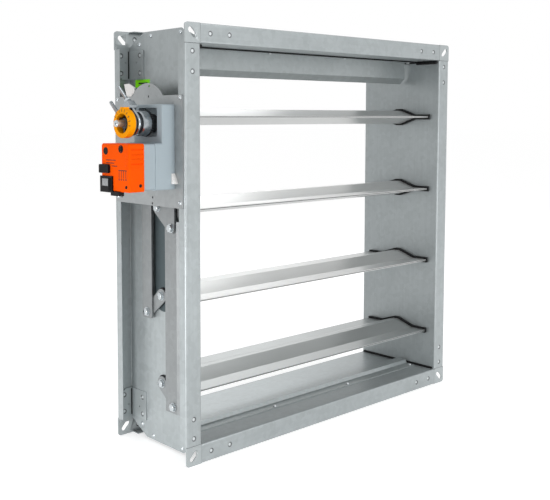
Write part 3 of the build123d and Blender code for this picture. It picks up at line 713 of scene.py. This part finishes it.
# Linkage slot
# A long sunk slot with round ends in the left wall, behind the link bars. A thin dark
# sheet on its floor is painted shadow.
slot_floor_clearance = 0.0001
slot_floor_thickness = 0.0003
# Painted shadow: the dark sheet on the slot's floor.
painted_shadow_sheet = sheet_metal(
    "slot_floor_painted_shadow", (0.07, 0.092, 0.10), stretch=(200, 200, 6), streak=0.05, roughness=0.5
)
slot_shadow_plate = bmesh.new()
slot_slab(slot_shadow_plate, slot_radius - slot_floor_clearance, slot_floor_thickness)
finished("linkage_slot_shadow_plate", slot_shadow_plate, painted_shadow_sheet, "casing", "galvanised_sheet")

# Top strip gasket
# A round black bead laid along the upper edge of the top stop strip, with a soft pad
# at each end.
gasket_radius = 0.0016
gasket_half_length = 0.346
gasket_y = 0.0572
gasket_z = 0.7436
pad_x = (0.347, 0.3532)
pad_y = (0.004, 0.058)
pad_z = (0.7375, 0.7435)
pad_edge = 0.001
gasket = bmesh.new()
gasket_rod = disc(gasket_radius, -gasket_half_length, gasket_half_length)
turned(gasket, gasket_rod, facing("right", 0, gasket_y, gasket_z))
for sign in (1, -1):
    block(gasket, [sign * x for x in pad_x], pad_y, pad_z, pad_edge)
finished("top_strip_gasket", gasket, sealant_and_painted_shade, "casing", "grey_sealant")

# Shafts, cranks and bars
# Zinc-plated steel. Blades 1 and 2 have toothed sectors in mesh, and a bar joins
# every second crank.
plated_steel = coated(
    "plated_steel",
    zinc_coat,
    metallic=0.75,
    bump=0.02,
    Tone=(0.47, 0.50, 0.51, 1),
    Cells_per_metre=300.0,
    Spangle=0.02,
    Streak=0.04,
    Streak_stretch=(60, 60, 60),
    Roughness=0.3,
)
link_tone = (0.27, 0.285, 0.29)
dull_steel = sheet_metal(
    "link_sheet", link_tone, stretch=(200, 200, 5), streak=0.04, roughness=0.42, metallic=0.6
)
for number in blade_numbers:
    wear(plated_steel, f"blade_{number}_shaft")
    wear(dull_steel, f"crank_{number}")
wear(dull_steel, "toothed_sector", "link_bar_rear", "link_bar_front")
wear(plated_steel, "drive_lever", "drive_spindle", "stop_screws")
black_tone = (0.009, 0.009, 0.010)
black_plastic = moulded("black_plastic", black_tone, 0.45, dust=0.03, specular=0.12)
wear(black_plastic, "bushes_left", "bushes_right", "spindle_bearing")

# Link pins and hub bolts
# Bright flanged hex bolts with a washer. The pins turn in the bars and ride with
# the cranks.
washer_height = 0.0014
washer_radius = 0.0085
washer_chamfer = 0.0003
shank_radius = 0.0040
pin_shank = 0.0070
head_height = 0.0040
head_across = 0.0130
crown_height = 0.0003
crown_radius = 0.0048
crown_top_radius = 0.0042
pin_seat = -0.3664
hub_seat = -0.3624
second_crank_seat = -0.3700
pin_turn = 0.3
hub_turn = 0.8
crank_reach = 0.052
crank_lean = math.radians(42)
blade_pitch = 0.165
pivot_y = 0.105
lowest_pivot = 0.123
bright_zinc = coated(
    "bright_zinc",
    zinc_coat,
    metallic=0.95,
    bump=0.02,
    Tone=(0.56, 0.60, 0.62, 1),
    Cells_per_metre=500.0,
    Spangle=0.02,
    Streak=0.05,
    Streak_stretch=(60, 60, 60),
    Roughness=0.16,
)


def pivot_height(number):
    """The height of a blade's shaft. Blade 1 is the top one."""
    return lowest_pivot + blade_pitch * (len(blade_numbers) - number)


def hex_head(mesh, place, across, height, edge=0.0007, turn=0.0):
    """A six-sided head or nut with its corners taken off."""
    seat = place @ Matrix.Rotation(turn, 4, "Z") @ Matrix.Translation((0, 0, height / 2))
    made = bmesh.ops.create_cone(
        mesh,
        cap_ends=True,
        segments=6,
        radius1=across / math.sqrt(3),
        radius2=across / math.sqrt(3),
        depth=height,
        matrix=seat,
    )["verts"]
    lines = {line for vert in made for line in vert.link_edges}
    rims = [line for line in lines if any(len(face.verts) == 6 for face in line.link_faces)]
    softened(mesh, rims, edge)


def bolt(mesh, x, y, z, shank, turn):
    """A bolt whose washer sits at x, with its shank reaching inwards."""
    place = facing("left", x, y, z)
    body_line = [
        (0.0, -shank),
        (shank_radius, -shank),
        (shank_radius, 0.0),
        (washer_radius - washer_chamfer, 0.0),
        (washer_radius, washer_chamfer),
        (washer_radius, washer_height - washer_chamfer),
        (washer_radius - washer_chamfer, washer_height),
        (0.0, washer_height),
    ]
    turned(mesh, body_line, place, 28)
    seat = place @ Matrix.Translation((0, 0, washer_height))
    side_height = head_height - crown_height
    hex_head(mesh, seat, head_across, side_height, turn=turn)
    crown = [
        (0.0, crown_height),
        (crown_top_radius, crown_height),
        (crown_radius, 0.0),
        (0.0, 0.0),
    ]
    turned(mesh, crown, seat @ Matrix.Translation((0, 0, side_height)))


for number in blade_numbers:
    pivot_z = pivot_height(number)
    rearward = 1 if number in (1, 3) else -1
    pin_y = pivot_y + rearward * crank_reach * math.cos(crank_lean)
    pin_z = pivot_z - crank_reach * math.sin(crank_lean)
    pins = bmesh.new()
    pin_x = second_crank_seat if number == 2 else pin_seat
    bolt(pins, pin_x, pin_y, pin_z, pin_shank, pin_turn + number)
    if number > 1:
        hub_x = second_crank_seat if number == 2 else hub_seat
        bolt(pins, hub_x, pivot_y, pivot_z, 0.0, hub_turn + number)
    name = f"link_bolts_{number}"
    body = f"blade_{number}_body"
    finished(name, pins, bright_zinc, body, "zinc_plated_steel", f"crank_pin_{number}")

# Blade hem seams
# The two skins of a blade meet in a flat hem at its front and rear edges. A black
# strip along the whole edge is painted shade in the joint between them.
seam_half_length = 0.3472
seam_half_height = 0.0005
seam_proud = 0.00005
seam_sunk = 0.0004
hem_tip = 0.0815
for number in blade_numbers:
    pivot_z = pivot_height(number)
    x_span = (-seam_half_length, seam_half_length)
    z_span = (pivot_z - seam_half_height, pivot_z + seam_half_height)
    # Painted shade: a black strip along each hem.
    hem_shade_strips = bmesh.new()
    for sign in (-1, 1):
        tip_y = pivot_y + sign * hem_tip
        y_span = (tip_y + sign * seam_proud, tip_y - sign * seam_sunk)
        block(hem_shade_strips, x_span, y_span, z_span)
    finished(f"hem_seam_shade_{number}", hem_shade_strips, sealant_and_painted_shade, f"blade_{number}_body", "black_rubber")

# Drive plate
# A sheet plate riveted across the left wall's two flanges, with a domed top over the
# top crank. It carries the spindle and the actuator.
plate_tone = (0.355, 0.375, 0.38)
plate_sheet = sheet_metal(
    "galvanised_plate", plate_tone, stretch=(200, 200, 8), streak=0.03, roughness=0.40, metallic=0.6
)
wear(plate_sheet, "drive_plate")

# Blind rivets
# Drawn rivets along the wall joints and at the plate's corners. The broken stem
# leaves a small pit in each head.
rivet_radius = 0.0040
rivet_height = 0.0022
pit_radius = 0.0011
pit_floor = 0.0010
rivet_profile = [
    (0.0, pit_floor),
    (pit_radius, pit_floor),
    (0.0013, 0.0019),
    (0.0019, rivet_height),
    (0.0027, 0.0018),
    (0.0036, 0.0009),
    (rivet_radius, 0.0),
    (0.0, 0.0),
]
wall_rivets = ((0.052, 0.012), (0.139, 0.012), (0.1745, 0.026))
plate_rivet_face = -0.3915
plate_rivets_y = (0.012, 0.198)
plate_rivets_z = (0.469, 0.6515)
rivets = bmesh.new()
for y, edge_distance in wall_rivets:
    for z in (edge_distance, casing_height - edge_distance):
        turned(rivets, rivet_profile, facing("left", -web_face, y, z))
        turned(rivets, rivet_profile, facing("right", web_face, y, z))
for y in plate_rivets_y:
    for z in plate_rivets_z:
        turned(rivets, rivet_profile, facing("left", plate_rivet_face, y, z))
finished("blind_rivets", rivets, bright_zinc, "casing", "zinc_plated_steel", "rivets")

# Sticker
# A bright green sticker on the left wall above the drive plate, with one dark band
# printed across it.
sticker_face = -0.35666
sticker_y = (0.143, 0.188)
sticker_z = (0.674, 0.6885)
band_x = (-0.35672, -0.35664)
band_y = (0.150, 0.178)
band_z = (0.6802, 0.6828)
flat_print = {"dust": 0.02, "bump": 0.02}
sticker_green = moulded("sticker_green", (0.28, 0.95, 0.01), 0.45, mottle=0.02, **flat_print)
sticker = bmesh.new()
block(sticker, (sticker_face, -web_face), sticker_y, sticker_z)
finished("green_sticker", sticker, sticker_green, "casing", "pale_plastic")
print_black = moulded("print_black", (0.02, 0.02, 0.02), 0.5, **flat_print)
band = bmesh.new()
block(band, band_x, band_y, band_z)
finished("green_sticker_band", band, print_black, "casing", "black_plastic")

# Actuator housing
# Two grey shells and a bright orange cover, all moulded, with a black cable entry,
# button and screws. A small white bracket sits at the bottom front corner.
orange_tone = (1.0, 0.100, 0.0)
grey_shell = moulded("grey_shell", (0.385, 0.455, 0.495), 0.42, bump=0.12)
orange_shell = moulded("orange_shell", orange_tone, 0.45, mottle=0.02, dust=0.01, specular=0.04)
pale_plastic = moulded("pale_plastic", (0.88, 0.87, 0.85), 0.4)
wear(grey_shell, "actuator_rear_housing", "actuator_front_housing")
wear(orange_shell, "actuator_cover")
wear(pale_plastic, "actuator_stop_bracket")
wear(black_plastic, "cable_gland", "release_button", "actuator_screws")

# Linkage guard
# A small white moulded piece behind the drive plate's top edge, of the same plastic as
# the actuator's bracket.
wear(pale_plastic, "linkage_guard")

# Cover grip ribs
# Seven short ribs moulded on the front side of the orange cover, each with a second
# rib beside it on the cover's face.
cover_face = -0.4888
grip_rib_count = 7
grip_rib_start = 0.5300
grip_rib_pitch = 0.0050
grip_rib_height = 0.0024
side_rib_x = (cover_face + 0.002, -0.4640)
side_rib_y = (0.0260, 0.0272)
side_rib_edge = 0.0004
face_rib_x = (cover_face - 0.0005, cover_face + 0.0003)
face_rib_y = (0.0290, 0.0385)
face_rib_edge = 0.0003
ribs = bmesh.new()
for step in range(grip_rib_count):
    z = grip_rib_start + grip_rib_pitch * step
    z_span = (z, z + grip_rib_height)
    block(ribs, side_rib_x, side_rib_y, z_span, side_rib_edge)
    block(ribs, face_rib_x, face_rib_y, z_span, face_rib_edge)
finished("cover_grip_ribs", ribs, orange_shell, "casing", "orange_plastic")

# Cover dial
# A small black dial with a raised rim on the orange cover, and a black ring round
# the release button beside it.
dial_place = facing("left", cover_face, 0.0955, 0.5600)
button_place = facing("left", cover_face, 0.0505, 0.5640)
dial_profile = [
    (0.0, 0.0003),
    (0.0030, 0.0003),
    (0.0036, 0.0008),
    (0.0060, 0.0008),
    (0.0066, 0.0),
    (0.0, 0.0),
]
button_ring = [(0.0052, 0.0), (0.0052, 0.0006), (0.0064, 0.0006), (0.0068, 0.0), (0.0052, 0.0)]
marks = bmesh.new()
turned(marks, dial_profile, dial_place, 28)
turned(marks, button_ring, button_place, 28)
finished("cover_dial", marks, black_plastic, "casing", "black_plastic")

# Cover prints
# Plain black lines printed on the orange cover: three level ones, and four upright
# ones with a small ring below each, joined by a line along their tops.
print_x = (cover_face - 0.00020, cover_face + 0.0001)
level_print_spans = ((0.066, 0.094), (0.070, 0.094), (0.062, 0.078))
level_print_top = 0.5440
level_print_pitch = 0.0050
level_print_height = 0.0013
column_count = 4
column_start = 0.036
column_pitch = 0.0065
column_width = 0.0011
column_z = (0.5150, 0.5270)
column_top_line_y = (0.034, 0.0582)
column_top_line_z = (0.5271, 0.5284)
column_ring_shift = 0.00045
column_ring_z = 0.5125
column_ring = [(0.0010, 0.0), (0.0010, 0.0002), (0.0018, 0.0002), (0.0018, 0.0), (0.0010, 0.0)]
prints = bmesh.new()
for row, y_span in enumerate(level_print_spans):
    z = level_print_top - level_print_pitch * row
    block(prints, print_x, y_span, (z, z + level_print_height))
for column in range(column_count):
    y = column_start + column_pitch * column
    block(prints, print_x, (y, y + column_width), column_z)
    ring_place = facing("left", cover_face, y + column_ring_shift, column_ring_z)
    turned(prints, column_ring, ring_place, 16)
block(prints, print_x, column_top_line_y, column_top_line_z)
finished("cover_prints", prints, print_black, "casing", "black_plastic")

# Cable entry
# A moulded black entry with a plain grey label. Fine upright ribs stand beside the
# label, and level ribs on the black latch above.
label_x = (-0.49192, -0.4918)
label_y = (0.0855, 0.1030)
label_z = (0.5000, 0.5125)
label_edge = 0.00003
label_grey = moulded("label_grey", (0.30, 0.31, 0.32), 0.5, mottle=0.03, dust=0.05, bump=0.02)
entry_label = bmesh.new()
block(entry_label, label_x, label_y, label_z, label_edge)
finished("entry_label", entry_label, label_grey, "casing", "pale_plastic")
entry_rib_edge = 0.0002
upright_rib_count = 5
upright_rib_start = 0.0765
upright_rib_pitch = 0.0016
upright_rib_width = 0.0008
upright_rib_x = (-0.4926, -0.4917)
upright_rib_z = (0.4920, 0.5140)
level_rib_count = 4
level_rib_start = 0.5240
level_rib_pitch = 0.0030
level_rib_height = 0.0014
level_rib_x = (-0.4938, -0.4932)
level_rib_y = (0.0850, 0.1080)
entry_ribs = bmesh.new()
for step in range(upright_rib_count):
    y = upright_rib_start + upright_rib_pitch * step
    block(entry_ribs, upright_rib_x, (y, y + upright_rib_width), upright_rib_z, entry_rib_edge)
for step in range(level_rib_count):
    z = level_rib_start + level_rib_pitch * step
    block(entry_ribs, level_rib_x, level_rib_y, (z, z + level_rib_height), entry_rib_edge)
finished("entry_ribs", entry_ribs, black_plastic, "casing", "black_plastic")

# Pocket screws
# Four bright hex screws with round flanges, set deep in the corners of the square
# pocket round the spindle.
pocket_face = -0.4066
pocket_screws_y = (0.0452, 0.0908)
pocket_screws_z = (0.5885, 0.6295)
pocket_head_across = 0.0060
pocket_head_height = 0.0040
pocket_head_edge = 0.0004
pocket_turn_per_metre = 90
pocket_flange = disc(0.0042, 0.0, 0.0008)
pocket_screws = bmesh.new()
for y in pocket_screws_y:
    for z in pocket_screws_z:
        head = facing("left", pocket_face, y, z)
        turn = pocket_turn_per_metre * y
        hex_head(
            pocket_screws, head, pocket_head_across, pocket_head_height, pocket_head_edge, turn
        )
        turned(pocket_screws, pocket_flange, head, 18)
finished("pocket_screws", pocket_screws, bright_zinc, "casing", "zinc_plated_steel")

# Spindle clamp
# A U-bolt, saddle and two nuts grip the spindle through the actuator's hollow
# shaft. A serrated dark ring lies behind the bright band.
spindle_y = 0.068
spindle_z = 0.607
clamp_x = -0.450
clamp_lean = math.radians(43)
rod_reach = 0.075
rod_offset = 0.018
thread_pitch = 0.00125
thread_start = 0.0415
thread_steps = 12
thread_root = 0.0028
thread_crest = 0.00335
thread_flank = 0.0004
thread_end_margin = 0.001
nut_start = 0.0360
nut_across = 0.0100
nut_height = 0.0048
nut_edge = 0.0005
nut_turn = 0.2
nut_washer_start = 0.0355
nut_washer = disc(0.0062, 0.0, 0.0006)
clamp_steel = coated(
    "clamp_steel",
    zinc_coat,
    metallic=0.9,
    bump=0.02,
    Tone=(0.36, 0.39, 0.41, 1),
    Cells_per_metre=500.0,
    Spangle=0.03,
    Streak=0.06,
    Streak_stretch=(120, 120, 120),
    Roughness=0.2,
)
wear(clamp_steel, "clamp_ring", "clamp_u_bolt", "clamp_saddle")
dark_steel = coated(
    "dark_steel",
    zinc_coat,
    metallic=0.7,
    bump=0.04,
    Tone=(0.06, 0.065, 0.07, 1),
    Cells_per_metre=500.0,
    Spangle=0.05,
    Streak=0.1,
    Streak_stretch=(120, 120, 120),
    Roughness=0.35,
)
wear(dark_steel, "clamp_drum")


def rod_place(side, along):
    """A placing on one leg of the U-bolt with Z along the leg."""
    y = spindle_y + along * math.cos(clamp_lean) - side * rod_offset * math.sin(clamp_lean)
    z = spindle_z + along * math.sin(clamp_lean) + side * rod_offset * math.cos(clamp_lean)
    lean = Matrix.Rotation(clamp_lean - math.pi / 2, 4, "X")
    return Matrix.Translation((clamp_x, y, z)) @ lean


def thread(mesh, place):
    """One closed ridge wound up a leg of the U-bolt to just short of its end."""
    before = set(mesh.verts)
    ridge = [
        mesh.verts.new((thread_root, 0, 0)),
        mesh.verts.new((thread_crest, 0, thread_flank)),
        mesh.verts.new((thread_root, 0, 2 * thread_flank)),
    ]
    lines = [mesh.edges.new((ridge[step], ridge[(step + 1) % 3])) for step in range(3)]
    turns_count = int((rod_reach - thread_start - thread_end_margin) / thread_pitch)
    bmesh.ops.spin(
        mesh,
        geom=ridge + lines,
        cent=(0, 0, 0),
        axis=(0, 0, 1),
        dvec=(0, 0, thread_pitch / thread_steps),
        angle=2 * math.pi * turns_count,
        steps=thread_steps * turns_count,
    )
    made = [vert for vert in mesh.verts if vert not in before]
    open_lines = {line for vert in made for line in vert.link_edges if len(line.link_faces) == 1}
    bmesh.ops.holes_fill(mesh, edges=list(open_lines), sides=3)
    bmesh.ops.transform(mesh, matrix=place, verts=made)


threads = bmesh.new()
nuts = bmesh.new()
for side in (-1, 1):
    thread(threads, rod_place(side, thread_start))
    hex_head(nuts, rod_place(side, nut_start), nut_across, nut_height, nut_edge, nut_turn)
    turned(nuts, nut_washer, rod_place(side, nut_washer_start))
finished("u_bolt_threads", threads, clamp_steel, "drive", "zinc_plated_steel")
finished("clamp_hex_nuts", nuts, bright_zinc, "drive", "zinc_plated_steel", "clamp_nuts")
serration_count = 36
serration_radius = 0.0235
serration_root = 0.92
serrated_thickness = 0.0034
serrated_place = facing("left", -0.4212, spindle_y, spindle_z)
serrated = bmesh.new()
rim = bmesh.ops.create_circle(
    serrated, cap_ends=True, segments=2 * serration_count, radius=serration_radius
)["verts"]
bmesh.ops.scale(serrated, vec=(serration_root, serration_root, 1.0), verts=rim[::2])
raised(serrated, serrated.faces[:], serrated_thickness)
bmesh.ops.transform(serrated, matrix=serrated_place, verts=serrated.verts[:])
finished("serrated_ring", serrated, dark_steel, "drive", "zinc_plated_steel")

# Position indicator
# An amber ring pressed on the clamp's drum, with a pointer. Its face carries plain
# marks, and the hollow inside is dark.
ring_inside = 0.0168
tick_count = 11
tick_step = 20
first_tick = -100
tick_radius = 0.0225
tick_face = -0.4738
tick_shape = Matrix.Diagonal((0.0001, 0.0012, 0.0055, 1.0))
amber_tone = (1.0, 0.38, 0.0)
amber_plastic = moulded("amber_plastic", amber_tone, 0.4, mottle=0.03, dust=0.01, specular=0.05)
wear(amber_plastic, "position_indicator")
indicator_data = nodes["position_indicator"].data
indicator_data.materials.append(dark_steel)
for polygon in indicator_data.polygons:
    away = Vector((polygon.center.y - spindle_y, polygon.center.z - spindle_z)).length
    if away < ring_inside:
        polygon.material_index = 1
ticks = bmesh.new()
for step in range(tick_count):
    lean = Matrix.Rotation(math.radians(first_tick + tick_step * step), 4, "X")
    middle = Matrix.Translation((tick_face, spindle_y, spindle_z))
    outwards = Matrix.Translation((0, 0, tick_radius))
    bmesh.ops.create_cube(ticks, size=1.0, matrix=middle @ lean @ outwards @ tick_shape)
finished("indicator_marks", ticks, print_black, "drive", "black_plastic")

# Spindle tip
# The round steel spindle ends in a flat face with a turned chamfer round it and a
# shallow centre.
spindle_end = -0.4870
tip_profile = [
    (0.0, 0.0),
    (0.0012, 0.0),
    (0.0018, 0.0006),
    (0.0046, 0.0006),
    (0.0056, 0.0),
    (0.0, -0.0004),
]
tip = bmesh.new()
turned(tip, tip_profile, facing("left", spindle_end, spindle_y, spindle_z), 24)
finished("spindle_tip", tip, bright_zinc, "drive", "zinc_plated_steel")
